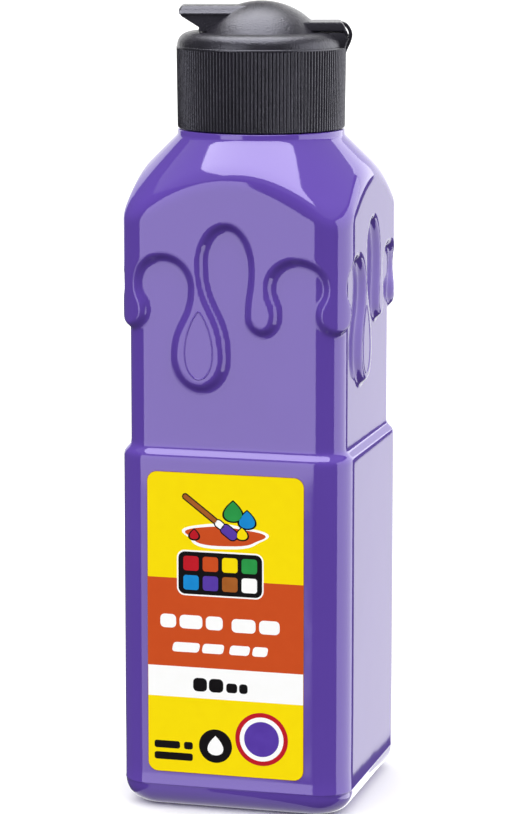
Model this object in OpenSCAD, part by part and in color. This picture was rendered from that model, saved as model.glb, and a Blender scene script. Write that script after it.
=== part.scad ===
// Square squeeze bottle of acrylic paint with a ribbed screw cap and a flip-top lid.
// Millimetres, +Z up, origin at the centre of the base. The front label faces -Y.

/* [Bottle] */
// Width of the bottle across its flats
body_w = 46; // [40:0.5:56]
// Radius of the vertical corners
corner_r = 6.4; // [5.4:0.2:8]
// Radius of the heel round the base
heel_r = 4.8; // [3:0.2:5.6]
// Thickness of the moulded wall
wall = 1.0; // [0.8:0.1:1.3]
// Height of the ledge between the labelled body and the waist
ledge_z = 71.4; // [66:0.2:90]
// Depth of the waist below the drip relief
relief = 1.43; // [1:0.01:1.8]
// Height of the foot of the collar, at the top of the shoulder
shoulder_z = 131.2; // [128:0.2:160]
// Slope of the shoulder below the horizontal
shoulder_angle = 46; // [40:1:50]
// Rise of the middle of the base above the surface that it stands on
push_up = 1.2; // [0.6:0.1:2]
// Width of the flat ring that the bottle stands on
rest_ring = 2.5; // [1.5:0.1:4]

/* [Neck] */
// Inset of the collar from the cap's outside
collar_set = 0.2; // [0:0.1:1]
// Height of the collar
collar_h = 1.1; // [0.6:0.1:2]
// Outer radius of the neck between its threads
neck_r = 13.3; // [11:0.1:16]
// Thickness of the neck's wall
neck_wall = 1.7; // [1.2:0.1:2.2]
// Height of the neck above the collar
neck_h = 15.7; // [13:0.1:20]
// Distance that the cap rises in one turn
thread_pitch = 4.2; // [3.5:0.1:5]
// Turns of thread on the neck and in the cap
thread_turns = 1.3; // [1:0.1:1.4]
// Height of a thread above its wall
thread_depth = 1.05; // [0.8:0.05:1.1]

/* [Cap] */
// Thickness of the skirt over its ribs
skirt_wall = 1.8; // [1.4:0.1:2.4]
// Number of fine ribs round the skirt
rib_count = 144; // [96:4:180]
// Depth of the grooves between the ribs
rib_depth = 0.3; // [0.2:0.05:0.4]
// Gap between the neck's thread and the inside of the skirt
skirt_play = 0.45; // [0.35:0.05:0.8]
// Gap between the collar and the foot of the skirt
skirt_gap = 0.25; // [0.15:0.05:1]
// Thickness of the deck under the lid
deck_t = 1.55; // [1.2:0.05:2]
// Rise of the rounded shoulder above the ribs
cap_crown_h = 2.9; // [2.4:0.1:3.4]
// Inward run of the rounded shoulder
cap_crown_run = 3.6; // [3:0.1:4]
// Angle about the bottle's axis at which the tightened cap puts its hinge
cap_angle = 15; // [0:1:359]
// Thickness of the sealing ring on the mouth
ring_t = 1.0; // [0.8:0.1:1.5]

/* [Flip lid] */
// Width of the flat deck round the lid
deck_ring = 0.9; // [0.6:0.1:2]
// Height of the top of the dome above the rim
dome_h = 6.5; // [5.4:0.1:8]
// Thickness of the dome
lid_wall = 1.1; // [0.9:0.1:1.3]
// Distance of the hinge outside the skirt
hinge_out = 0.35; // [0.3:0.05:1]
// Half the width of the hinge arm
arm_half = 6; // [5:0.5:7]
// Inset of the thumb tab's tip from the cap's outside
tab_set = 0.4; // [0:0.1:3]
// Half the width of the thumb tab
tab_half = 5.2; // [4:0.2:6]
// Thickness of the thumb tab
tab_t = 1.4; // [1:0.1:1.6]
// Radius of the pouring orifice
orifice_r = 1.7; // [1.2:0.1:2]
// Gap between the lid's plug and the orifice
plug_gap = 0.3; // [0.2:0.05:0.4]

/* [Labels and paint] */
// Bare width of the face at each side of a label
label_side = 7.3; // [6.5:0.1:12]
// Bare height of the face between a label and the ledge
label_head = 3.9; // [3:0.1:10]
// Height of the lower edge of the labels
label_z = 7.7; // [7:0.1:12]
// Thickness of a label
label_t = 0.12; // [0.08:0.01:0.2]
// Radius of a label's corners
label_corner_r = 2; // [1:0.5:4]
// Sideways shift of the front label from the middle of its face
label_shift = -1; // [-1:0.1:1]
// Depth of the surface of the paint below the collar's foot
headspace = 19.2; // [16:0.2:40]

/* [Hidden] */
$fn = 96;

violet = "#6f58b4";
paint_violet = "#4a2f96";
cap_black = "#2b2a30";
label_yellow = "#f8dd08";
ring_white = "#e9e7e0";

eps = 0.01;
bore_r = neck_r - neck_wall;
skirt_bore_r = neck_r + thread_depth + skirt_play;
cap_r = skirt_bore_r + skirt_wall;
collar_r = cap_r - collar_set;
lid_r = cap_r - cap_crown_run - deck_ring;
hinge_u = cap_r + hinge_out;
tab_reach = cap_r - tab_set;
label_w = body_w - 2 * label_side;
label_h = ledge_z - label_head - label_z;
fill_z = shoulder_z - headspace;
faces = 4;
paint_gap = 0.05;
floor_t = wall + 0.3;
ledge_t = wall + 0.2;
waist_w = body_w - 2 * relief;
waist_r = corner_r - relief;
collar_top = shoulder_z + collar_h;
mouth_z = collar_top + neck_h;
bore_drop = 3;

// Drip relief, laid out on one face from its middle and up from the collar's foot
arch_side_u = body_w / 2 - 9.9;
arch_side_drop = 27.8;
arch_side_r = 5.8;
arch_mid_u = -0.7;
arch_mid_drop = 21.2;
arch_mid_r = 5.2;
long_drip_u = -6.1;
long_drip_drop = 42;
long_drip_r = 5.2;
long_neck_u = -6.7;
long_neck_drop = 27.4;
long_neck_half = 0.8;
short_drip_u = 6.3;
short_drip_drop = 33.1;
short_drip_r = 2.9;
short_neck_half = 1.3;
corner_drip_half = 5.6;
corner_drip_drop = 32.6;
corner_drip_r = 3.4;
corner_neck_set = 1.2;
drip_side = 0.95;
drip_rise = 0.3;
neck_flare = 1;
neck_run = 7;
short_neck_lean = 0.3;
short_neck_rise = 3;
arch_overlap = 1;

// Cap heights
recess_h = 0.7;
thread_clear = 3;
cap_thread_lag = 0.5;
skirt_z = collar_top + skirt_gap;
deck_under_z = mouth_z + ring_t;
rim_seat_z = deck_under_z + deck_t;
deck_z = rim_seat_z + recess_h;
crown_z = deck_z - cap_crown_h;
rib_lip = 0.35;
rib_set = 0.05;
rib_marks = [0, 0.3, 0.5, 0.8];
crown_steps = 8;
recess_gap = 0.2;
ring_cover = 1;
spout_r = 3.2;
spout_flare = 0.6;
spout_h = 2.1;
cap_thread_gap = 0.35;

// Lid heights
rim_gap = 0.1;
rim_z = rim_seat_z + rim_gap;
dome_top_z = rim_z + dome_h;
dome_r = (lid_r * lid_r + dome_h * dome_h) / (2 * dome_h);
dome_c_z = dome_top_z - dome_r;
tab_top_z = dome_top_z - 0.7;
web_inset = 0.35;
web_tip_set = 0.4;
web_wall_h = 0.95;
arm_gap = 0.15;
arm_z = deck_z + arm_gap;
arm_top_z = arm_z + 1.8;
arm_root_u = lid_r - 5.1;
arm_heel = 0.75;
arm_slope = 0.9;
arm_nose = 0.5;
arm_crest = 1.4;
pin_dip = 1.2;
pin_tip_h = 0.5;
pin_taper = 0.3;
hinge_z = deck_z - 0.95;
lip_gap = 0.15;
film_t = 0.28;
film_half_w = 1.4;
film_v = arm_half - 2;
film_clear = 0.03;
strap_t = 0.55;
strap_half_w = 1.9;
strap_bulge = 0.85;
strap_drop = 3.9;
strap_bow = 0.6;
strap_mid = 0.2;
strap_gap = 0.06;
bracket_root = 0.8;

function arc(cx, cy, rx, ry, a0, a1, n) =
    [for (i = [0 : n]) let (a = a0 + (a1 - a0) * i / n) [cx + rx * cos(a), cy + ry * sin(a)]];

// Height of the shoulder's outer cone at a distance r from the axis
function cone_z(r) = shoulder_z - (r - collar_r) * tan(shoulder_angle);

module rounded_square(w, r) {
    square([w, w - 2 * r], center = true);
    square([w - 2 * r, w], center = true);
    for (x = [-1, 1], y = [-1, 1])
        translate([x * (w / 2 - r), y * (w / 2 - r)]) circle(r);
}

module rounded_plate(w, h, r) {
    translate([-w / 2, r]) square([w, h - 2 * r]);
    translate([-w / 2 + r, 0]) square([w - 2 * r, h]);
    for (x = [-1, 1], y = [r, h - r])
        translate([x * (w / 2 - r), y]) circle(r);
}

// Side profile of the body with a rounded heel, standing at z0
module heel_profile(w, z0, z1, r) {
    translate([-w / 2, z0 + r]) square([w, z1 - z0 - r]);
    translate([-w / 2 + r, z0]) square([w - 2 * r, z1 - z0]);
    for (x = [-1, 1])
        translate([x * (w / 2 - r), z0 + r]) circle(r);
}

// Square tube form with rounded corners and a rounded heel
module heeled_prism(w, r, z0, z1, heel) {
    intersection() {
        linear_extrude(z1) rounded_square(w, r);
        for_each_way() translate([0, w, 0]) rotate([90, 0, 0])
            linear_extrude(2 * w) heel_profile(w, z0, z1, heel);
    }
}

module for_each_way() {
    intersection() {
        children();
        rotate([0, 0, 90]) children();
    }
}

// Everything under the shoulder's cone, lowered by drop
module under_cone(drop, top_r) {
    far_r = body_w;
    rotate_extrude()
        polygon([[0, 0], [far_r, 0], [far_r, cone_z(far_r) - drop],
                 [top_r, cone_z(top_r) - drop], [0, cone_z(top_r) - drop]]);
}

// Wedge of the bottle that belongs to one face, opening towards -Y
module face_wedge() {
    linear_extrude(shoulder_z) polygon([[0, 0], [-body_w, -body_w], [body_w, -body_w]]);
}

// Round drip of radius r at (u, z) that narrows upward to a neck
module drip(u, z, r, neck_u, neck_half, neck_z) {
    translate([u, z]) circle(r);
    polygon([[u - r * drip_side, z + r * drip_rise], [neck_u - neck_half, neck_z],
             [neck_u + neck_half, neck_z], [u + r * drip_side, z + r * drip_rise]]);
}

module long_drip() {
    neck_z = shoulder_z - long_neck_drop;
    flare = long_neck_half + neck_flare;
    drip(long_drip_u, shoulder_z - long_drip_drop, long_drip_r, long_neck_u, long_neck_half, neck_z + eps);
    polygon([[long_neck_u - long_neck_half, neck_z], [long_neck_u - flare, neck_z + neck_run],
             [long_neck_u + flare, neck_z + neck_run], [long_neck_u + long_neck_half, neck_z]]);
}

module short_drip() {
    drip(short_drip_u, shoulder_z - short_drip_drop, short_drip_r, short_drip_u - short_neck_lean,
         short_neck_half + short_neck_lean, shoulder_z - arch_side_drop + short_neck_rise);
}

// Drip that runs down a corner, at the +X edge of the face
module corner_drip() {
    z = shoulder_z - corner_drip_drop;
    edge = body_w / 2 - corner_drip_half;
    translate([edge + corner_drip_r, z]) circle(corner_drip_r);
    translate([edge + corner_drip_r, z - corner_drip_r]) square([corner_drip_half, 2 * corner_drip_r]);
    translate([edge + corner_neck_set, z]) square([corner_drip_half, arch_side_drop]);
}

// Area of one face that is sunk below the drips
module sunk_area() {
    difference() {
        union() {
            translate([-body_w, ledge_z])
                square([2 * body_w, shoulder_z - arch_side_drop - ledge_z]);
            for (s = [-1, 1])
                translate([s * arch_side_u, shoulder_z - arch_side_drop]) circle(arch_side_r);
            translate([arch_mid_u, shoulder_z - arch_mid_drop]) circle(arch_mid_r);
            translate([arch_mid_u - arch_mid_r, shoulder_z - arch_side_drop - arch_overlap])
                square([2 * arch_mid_r, arch_side_drop - arch_mid_drop + arch_overlap]);
        }
        long_drip();
        short_drip();
        for (m = [0, 1]) mirror([m, 0]) corner_drip();
    }
}

module face_cut() {
    intersection() {
        face_wedge();
        rotate([90, 0, 0]) linear_extrude(body_w) sunk_area();
    }
}

// Helical ridge: it starts at z0 and tapers in and out over its first and last rings
module thread_ridge(r, depth, z0, inward) {
    rings = 52;
    lead = 8;
    root = 0.4;
    base_half = 0.85;
    crest_half = 0.4;
    way = inward ? -1 : 1;
    start = 0.2;
    tip_base = 0.1;
    tip_crest = 0.05;
    function grow(i) = min(1, (i + start) / lead, (rings - i + start) / lead);
    function ring(i) =
        let (a = 360 * thread_turns * i / rings, z = z0 + thread_pitch * a / 360,
             ri = r - way * root, ro = r + way * depth * grow(i),
             hb = base_half * grow(i) + tip_base, hc = crest_half * grow(i) + tip_crest)
        [[ri, z - hb], [ro, z - hc], [ro, z + hc], [ri, z + hb]];
    points = [for (i = [0 : rings]) let (a = 360 * thread_turns * i / rings) for (p = ring(i))
              [p[0] * cos(a), p[0] * sin(a), p[1]]];
    sides = [for (i = [0 : rings - 1], k = [0 : 3])
             let (a = 4 * i + k, b = 4 * i + (k + 1) % 4, c = b + 4, d = a + 4)
             each inward ? [[a, c, b], [a, d, c]] : [[a, b, c], [a, c, d]]];
    n = 4 * rings;
    ends = inward ? [[0, 1, 2], [0, 2, 3], [n, n + 2, n + 1], [n, n + 3, n + 2]]
                  : [[0, 2, 1], [0, 3, 2], [n, n + 1, n + 2], [n, n + 2, n + 3]];
    polyhedron(points, concat(sides, ends));
}

// Body, waist, relief and shoulder before hollowing
module bottle_outside() {
    intersection() {
        union() {
            heeled_prism(waist_w, waist_r, 0, shoulder_z, heel_r - relief);
            difference() {
                heeled_prism(body_w, corner_r, 0, shoulder_z, heel_r);
                for (k = [0 : faces - 1]) rotate([0, 0, 90 * k]) face_cut();
            }
        }
        under_cone(0, collar_r);
    }
    cylinder(r = collar_r, h = collar_top);
    cylinder(r = neck_r, h = mouth_z);
}

// Hollow of the body, with its walls brought in by inset
module body_hollow(inset) {
    lower_w = body_w - 2 * inset;
    lower_r = corner_r - inset;
    upper_w = waist_w - 2 * inset;
    upper_r = waist_r - inset;
    floor_z = push_up + floor_t + inset - wall;
    heeled_prism(lower_w, lower_r, floor_z, ledge_z - ledge_t - inset + wall, heel_r - inset);
    intersection() {
        heeled_prism(upper_w, upper_r, floor_z, shoulder_z, heel_r - inset);
        under_cone(inset / cos(shoulder_angle) + inset, bore_r - inset + wall);
    }
}

module bottle() {
    color(violet) {
        difference() {
            bottle_outside();
            body_hollow(wall);
            translate([0, 0, shoulder_z - bore_drop])
                cylinder(r = bore_r, h = neck_h + collar_h + 2 * bore_drop);
            translate([0, 0, -eps]) linear_extrude(push_up + eps)
                rounded_square(body_w - 2 * heel_r - 2 * rest_ring, corner_r - 1);
        }
        thread_ridge(neck_r, thread_depth, mouth_z - thread_clear - thread_pitch * thread_turns, false);
    }
}

module paint_fill() {
    color(paint_violet) intersection() {
        body_hollow(wall + paint_gap);
        translate([-body_w, -body_w, 0]) cube([2 * body_w, 2 * body_w, fill_z]);
    }
}

module label(shift) {
    translate([shift, -body_w / 2, label_z]) rotate([90, 0, 0])
        linear_extrude(label_t) rounded_plate(label_w, label_h, label_corner_r);
}

module front_label() {
    color(label_yellow) label(label_shift);
}

module rear_label() {
    color(label_yellow) rotate([0, 0, 180]) label(0);
}

module sealing_ring() {
    color(ring_white) translate([0, 0, mouth_z]) difference() {
        cylinder(r = neck_r, h = ring_t);
        translate([0, 0, -eps]) cylinder(r = bore_r - ring_cover, h = ring_t + 2 * eps);
    }
}

// Puts a side profile, drawn as distance from the axis and height, across the cap's hinge direction
module across(half) {
    rotate([0, 0, cap_angle]) translate([0, half, 0]) rotate([90, 0, 0])
        linear_extrude(2 * half) children();
}

module ribbed_skirt() {
    crest_r = cap_r - rib_set;
    valley_r = crest_r - rib_depth;
    step = 360 / rib_count;
    linear_extrude(crown_z - rib_lip - skirt_z)
        polygon([for (i = [0 : rib_count - 1], k = [0 : 3])
                 let (a = (i + rib_marks[k]) * step, r = k < 2 ? crest_r : valley_r)
                 [r * cos(a), r * sin(a)]]);
}

module cap_crown() {
    top_r = cap_r - cap_crown_run;
    rotate_extrude()
        polygon(concat([[0, crown_z - rib_lip], [cap_r, crown_z - rib_lip]],
                       arc(top_r, crown_z, cap_crown_run, cap_crown_h, 0, 90, crown_steps),
                       [[0, deck_z]]));
}

// Outer face of the bracket under the hinge: distance from the axis at height z
function bracket_u(z) =
    let (foot_z = crown_z - rib_lip / 2, head_z = hinge_z - lip_gap, foot_u = cap_r - rib_depth)
    foot_u + (hinge_u - foot_u) * (min(z, head_z) - foot_z) / (head_z - foot_z);

module hinge_bracket() {
    root_u = lid_r + bracket_root;
    across(arm_half)
        polygon([[root_u, crown_z], [root_u, deck_z], [hinge_u - arm_slope, deck_z],
                 [hinge_u - film_t, hinge_z - lip_gap], [hinge_u, hinge_z - lip_gap],
                 [cap_r - rib_depth, crown_z - rib_lip / 2]]);
}

module cap_base() {
    color(cap_black) {
        difference() {
            union() {
                translate([0, 0, skirt_z]) ribbed_skirt();
                cap_crown();
                hinge_bracket();
            }
            translate([0, 0, skirt_z - eps]) cylinder(r = skirt_bore_r, h = deck_under_z - skirt_z + eps);
            translate([0, 0, rim_seat_z]) cylinder(r = lid_r + recess_gap, h = deck_z);
            translate([0, 0, deck_under_z - eps]) cylinder(r = orifice_r, h = deck_t + 2 * eps);
        }
        translate([0, 0, rim_seat_z - eps]) difference() {
            cylinder(r1 = spout_r + spout_flare, r2 = spout_r, h = spout_h);
            translate([0, 0, -eps]) cylinder(r = orifice_r, h = spout_h + 2 * eps);
        }
        rotate([0, 0, cap_angle])
            thread_ridge(skirt_bore_r, skirt_bore_r - neck_r - cap_thread_gap,
                         mouth_z - thread_clear - thread_pitch * (thread_turns + cap_thread_lag), true);
    }
}

module hinge_films() {
    color(cap_black) for (s = [-1, 1])
        rotate([0, 0, cap_angle]) translate([hinge_u - film_t, s * film_v - film_half_w, hinge_z - lip_gap])
            cube([film_t, 2 * film_half_w, 2 * lip_gap - film_clear]);
}

// Side profile of the bowed strap from the arm, round the hinge, down to the skirt
module snap_strap() {
    mid_z = hinge_z + strap_mid;
    head = [hinge_u - arm_slope, arm_top_z];
    foot = [cap_r + strap_gap, hinge_z - strap_drop];
    bow = arc(hinge_u - strap_bow, mid_z, strap_bulge + strap_bow, arm_top_z - mid_z - strap_bow,
              60, -60, 10);
    back = [for (i = [len(bow) - 1 : -1 : 0])
            [max(bow[i][0] - strap_t, max(cap_r, bracket_u(bow[i][1])) + strap_gap), bow[i][1]]];
    color(cap_black) across(strap_half_w) polygon(concat([head], bow, [foot], back));
}

module lid_tab() {
    knee_z = arm_z + web_wall_h;
    across(tab_half) translate([-tab_reach, tab_top_z - tab_t]) square([tab_reach, tab_t]);
    across(tab_half - web_inset)
        polygon([[-tab_reach + web_tip_set, tab_top_z - tab_t], [-lid_r, knee_z], [-lid_r, arm_z],
                 [-arm_root_u, arm_z], [0, tab_top_z - tab_t]]);
}

module lid_arm() {
    across(arm_half)
        polygon([[arm_root_u, arm_z], [hinge_u - arm_heel, arm_z], [hinge_u - film_t, hinge_z + lip_gap],
                 [hinge_u, hinge_z + lip_gap], [hinge_u - arm_slope, arm_top_z - arm_nose],
                 [hinge_u - arm_crest, arm_top_z], [arm_root_u, arm_top_z]]);
}

module flip_lid() {
    pin_r = orifice_r - plug_gap;
    pin_z = rim_seat_z + spout_h - pin_dip;
    pin_foot_z = pin_z + pin_tip_h;
    color(cap_black) {
        difference() {
            union() {
                intersection() {
                    translate([0, 0, dome_c_z]) sphere(dome_r);
                    translate([0, 0, rim_z]) cylinder(r = lid_r, h = dome_h + 1);
                }
                lid_tab();
                lid_arm();
            }
            intersection() {
                translate([0, 0, dome_c_z]) sphere(dome_r - lid_wall);
                translate([0, 0, rim_z - eps]) cylinder(r = lid_r, h = dome_h + 1);
            }
        }
        translate([0, 0, pin_z]) cylinder(r1 = pin_r - pin_taper, r2 = pin_r, h = pin_tip_h);
        translate([0, 0, pin_foot_z - eps])
            cylinder(r = pin_r, h = dome_top_z - lid_wall / 2 - pin_foot_z);
    }
}

bottle();
paint_fill();
front_label();
rear_label();
sealing_ring();
cap_base();
hinge_films();
snap_strap();
flip_lid();
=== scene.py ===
from math import asin, cos, pi, radians, sin, sqrt, tan

import bpy
import numpy as np
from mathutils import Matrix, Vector


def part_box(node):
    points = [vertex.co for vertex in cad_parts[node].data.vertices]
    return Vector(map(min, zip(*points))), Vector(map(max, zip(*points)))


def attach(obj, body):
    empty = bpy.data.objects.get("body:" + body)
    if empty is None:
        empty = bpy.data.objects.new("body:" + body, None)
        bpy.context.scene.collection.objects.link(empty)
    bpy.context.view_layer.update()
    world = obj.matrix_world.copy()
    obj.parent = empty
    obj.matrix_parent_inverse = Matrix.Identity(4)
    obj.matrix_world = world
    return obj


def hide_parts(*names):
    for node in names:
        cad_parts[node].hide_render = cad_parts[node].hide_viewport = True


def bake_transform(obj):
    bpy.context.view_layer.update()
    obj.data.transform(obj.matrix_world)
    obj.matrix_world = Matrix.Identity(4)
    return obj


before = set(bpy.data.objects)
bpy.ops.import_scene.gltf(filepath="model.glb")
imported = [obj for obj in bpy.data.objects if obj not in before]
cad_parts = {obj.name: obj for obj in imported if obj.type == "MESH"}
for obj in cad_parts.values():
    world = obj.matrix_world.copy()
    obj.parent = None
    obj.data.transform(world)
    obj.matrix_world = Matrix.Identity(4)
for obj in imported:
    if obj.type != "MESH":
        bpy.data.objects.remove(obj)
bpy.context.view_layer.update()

# Lengths are millimetres until a mesh is made
MM = 0.001


def span(node):
    """Lowest and highest corner of a CAD node, in millimetres."""
    low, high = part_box(node)
    return np.array(low) / MM, np.array(high) / MM


BOTTLE_HIGH = span("bottle")[1]
CAP_LOW, CAP_HIGH = span("cap_base")
LID_LOW, LID_HIGH = span("flip_lid")
LABEL_LOW, LABEL_HIGH = span("front_label")
REAR_LOW, REAR_HIGH = span("rear_label")

FACE = BOTTLE_HIGH[0]
MOUTH_Z = BOTTLE_HIGH[2]
SKIRT_Z = CAP_LOW[2]
DOME_TOP_Z = LID_HIGH[2]
# The lid's rim is drawn a little above its CAD rim, clear of the seat
RIM_LIFT = 0.2
RIM_Z = LID_LOW[2] + RIM_LIFT
# The hinge points this far round from the bottle's right side
CAP_ANGLE = radians(15)

# Bottle sizes, as in the part's source
CORNER_R = 6.4
CORE = FACE - CORNER_R
HEEL_R = 4.8
RELIEF = 1.43
WALL = 1.0
COLLAR_R = 16.4
COLLAR_H = 1.1
NECK_R = 13.3
BORE_R = 11.6
SKIRT_GAP = 0.25
COLLAR_TOP = SKIRT_Z - SKIRT_GAP
SHOULDER_Z = COLLAR_TOP - COLLAR_H
SHOULDER_SLOPE = tan(radians(46))
THREAD_PITCH = 4.2
THREAD_DEPTH = 1.05
THREAD_TURNS = 1.3
THREAD_DROP = 3
FLOOR_Z = 2.5

# Cap sizes, as in the part's source
CAP_R = 16.6
SKIRT_BORE_R = 14.8
SPOUT_RISE = 1.4
RECESS_DEPTH = 0.7
RING_H = 1.0
RIM_GAP = 0.1
HINGE_DROP = 0.95
DECK_Z = CAP_HIGH[2] - SPOUT_RISE
RIM_SEAT_Z = DECK_Z - RECESS_DEPTH
DECK_UNDER_Z = MOUTH_Z + RING_H
CROWN_H = 2.9
CROWN_RUN = 3.6
CROWN_Z = DECK_Z - CROWN_H
LID_R = 12.1
HINGE_U = 16.95
HINGE_Z = DECK_Z - HINGE_DROP
DOME_H = DOME_TOP_Z - RIM_SEAT_Z - RIM_GAP
DOME_R = (LID_R ** 2 + DOME_H ** 2) / (2 * DOME_H)
DOME_C_Z = DOME_TOP_Z - DOME_R
LID_WALL = 1.1

TINY = 1e-12
FAR = 1e9


def ease(t):
    """Smooth step from 0 to 1."""
    t = np.clip(t, 0, 1)
    return t * t * (3 - 2 * t)


def soft_min(a, b, width):
    """Smaller of two radii, rounded over where they cross."""
    near = np.maximum(width - np.abs(a - b), 0) / width
    return np.minimum(a, b) - near * near * width / 4


# ---------------------------------------------------------------- materials

def colour(code):
    """Linear colour of an sRGB hex value."""
    parts = [int(code[i:i + 2], 16) / 255 for i in (1, 3, 5)]
    linear = [c / 12.92 if c <= 0.04045 else ((c + 0.055) / 1.055) ** 2.4 for c in parts]
    return (*linear, 1.0)


def add_node(tree, kind, inputs=(), **settings):
    """Adds a node with its settings; an input takes a value or another node's output."""
    node = tree.nodes.new("ShaderNode" + kind)
    for name, value in settings.items():
        setattr(node, name, value)
    for name, value in dict(inputs).items():
        if isinstance(value, bpy.types.NodeSocket):
            tree.links.new(value, node.inputs[name])
        else:
            node.inputs[name].default_value = value
    return node


def material(name, base, roughness, ior):
    """A material, its node tree, its Principled shader and coordinates in millimetres."""
    made = bpy.data.materials.new(name)
    made.use_nodes = True
    tree = made.node_tree
    tree.nodes.clear()
    shader = add_node(tree, "BsdfPrincipled", {"Base Color": colour(base), "Roughness": roughness,
                                               "IOR": ior})
    add_node(tree, "OutputMaterial", {"Surface": shader.outputs["BSDF"]})
    place = add_node(tree, "TexCoord")
    scale = add_node(tree, "VectorMath", {0: place.outputs["Object"], 1: (1 / MM,) * 3},
                     operation="MULTIPLY")
    return made, tree, shader, scale.outputs["Vector"]


def raise_surface(tree, shader, height_map, height):
    """Bump that stands height millimetres where the map is 1."""
    bump = add_node(tree, "Bump", {"Height": height_map, "Strength": 1.0, "Distance": height * MM})
    tree.links.new(bump.outputs["Normal"], shader.inputs["Normal"])


def grain(tree, shader, where, size, height, detail):
    """Bump of a noise whose features are size millimetres across and height millimetres high."""
    noise = add_node(tree, "TexNoise", {"Vector": where, "Scale": 1 / size, "Detail": detail})
    raise_surface(tree, shader, noise.outputs["Fac"], height)


def mottle(tree, shader, where, size, first, second):
    """Base colour that drifts between two near shades over size millimetres."""
    noise = add_node(tree, "TexNoise", {"Vector": where, "Scale": 1 / size, "Detail": 3.0})
    ramp = add_node(tree, "ValToRGB", {"Fac": noise.outputs["Fac"]})
    for stop, position, shade in zip(ramp.color_ramp.elements, (0.3, 0.7), (first, second)):
        stop.position = position
        stop.color = colour(shade)
    tree.links.new(ramp.outputs["Color"], shader.inputs["Base Color"])


def violet_pet():
    """Violet PET, stretch blow moulded: hard mirror gloss over a slightly wavy wall.

    The wall's waves are 9 mm across, and its colour drifts over 30 mm.
    """
    made, tree, shader, where = material("violet_pet_blow_moulded", "#5a409e", roughness=0.06, ior=1.575)
    shader.inputs["Specular Tint"].default_value = colour("#e7ddff")
    mottle(tree, shader, where, 30.0, "#593f9c", "#5c42a1")
    grain(tree, shader, where, size=9.0, height=0.025, detail=1.0)
    return made


def black_polypropylene():
    """Black polypropylene, injection moulded in a finely eroded tool: broad soft gloss, fine grain.

    The tool's own grain is too fine to show, so it is drawn 0.38 mm across.
    """
    made, tree, shader, where = material("black_polypropylene_moulded", "#232228", roughness=0.26, ior=1.49)
    shader.inputs["Specular Tint"].default_value = colour("#eeeeff")
    mottle(tree, shader, where, 3.0, "#212026", "#28262e")
    grain(tree, shader, where, size=0.38, height=0.1, detail=3.0)
    return made


def printed_film(name, first, second):
    """Offset print on polypropylene film, matt varnish: even, with a faint drift in the ink.

    The varnish's own grain is too fine to show, so it is drawn 0.6 mm across.
    """
    made, tree, shader, where = material(name, first, roughness=0.6, ior=1.5)
    shader.inputs["Specular IOR Level"].default_value = 0.02
    mottle(tree, shader, where, 2.5, first, second)
    grain(tree, shader, where, size=0.6, height=0.002, detail=2.0)
    return made


def foam_ring():
    """White polyethylene foam, die cut: matt, with fine closed cells."""
    made, tree, shader, where = material("white_polyethylene_foam", "#e9e7e0", roughness=0.75, ior=1.5)
    cell_size, cell_depth = 0.35, 0.04
    cells = add_node(tree, "TexVoronoi", {"Vector": where, "Scale": 1 / cell_size})
    raise_surface(tree, shader, cells.outputs["Distance"], cell_depth)
    return made


def wet_paint():
    """Thick acrylic paint, poured: wet gloss over slow swirls of a heavier pigment."""
    made, tree, shader, where = material("acrylic_paint_wet", "#4a2f96", roughness=0.18, ior=1.4)
    mottle(tree, shader, where, 6.0, "#472c92", "#55399f")
    grain(tree, shader, where, size=5.0, height=0.12, detail=2.0)
    return made


VIOLET = violet_pet()
BLACK = black_polypropylene()
FOAM = foam_ring()
PAINT = wet_paint()
YELLOW_INK = printed_film("yellow_ink_on_film", "#fadf0a", "#f8dc0a")
ORANGE_INK = printed_film("orange_red_ink_on_film", "#cb5023", "#c94e22")
WHITE_INK = printed_film("white_ink_on_film", "#ffffff", "#fdfdfc")
BLACK_INK = printed_film("black_ink_on_film", "#141214", "#171517")
GREEN_INK = printed_film("green_ink_on_film", "#2f9a4b", "#2b9146")
BLUE_INK = printed_film("blue_ink_on_film", "#1f8fd6", "#1b86cc")
RED_INK = printed_film("red_ink_on_film", "#c2202c", "#b91c28")
VIOLET_INK = printed_film("violet_ink_on_film", "#5b3fa8", "#563aa1")
BROWN_INK = printed_film("brown_ink_on_film", "#a8622c", "#9f5a27")


# ---------------------------------------------------------------- meshes

# Edges stay crisp where faces meet at more than this many degrees
BOTTLE_CRISP, CAP_CRISP, STRAP_CRISP, PRINT_CRISP = 50.0, 40.0, 50.0, 20.0


def make(name, verts, faces, finish, body, sharp):
    """Mesh object from millimetre points, shaded smooth below the sharp angle, riding on a body."""
    mesh = bpy.data.meshes.new(name)
    mesh.from_pydata((np.asarray(verts, float) * MM).tolist(), [], [tuple(f) for f in faces])
    mesh.materials.append(finish)
    mesh.shade_smooth()
    mesh.set_sharp_from_angle(angle=radians(sharp))
    mesh.update()
    piece = bpy.data.objects.new(name, mesh)
    bpy.context.scene.collection.objects.link(piece)
    if body:
        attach(piece, body)
    return piece


def skin(rings, first=None, last=None, loop=False):
    """Points and faces over rings of points; first and last are end points that close it."""
    rings = np.asarray(rings)
    count, around = rings.shape[:2]
    verts = rings.reshape(-1, 3)
    rows = np.arange(count if loop else count - 1)[:, None]
    cols = np.arange(around)[None, :]
    following = (cols + 1) % around
    above = (rows + 1) % count
    corners = (rows * around + cols, rows * around + following,
               above * around + following, above * around + cols)
    faces = np.stack(np.broadcast_arrays(*corners), -1).reshape(-1, 4).tolist()
    step = np.arange(around)
    if first is not None:
        faces += [[len(verts), (i + 1) % around, i] for i in step]
        verts = np.vstack([verts, first])
    if last is not None:
        base = (count - 1) * around
        faces += [[len(verts), base + i, base + (i + 1) % around] for i in step]
        verts = np.vstack([verts, last])
    return verts, faces


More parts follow.
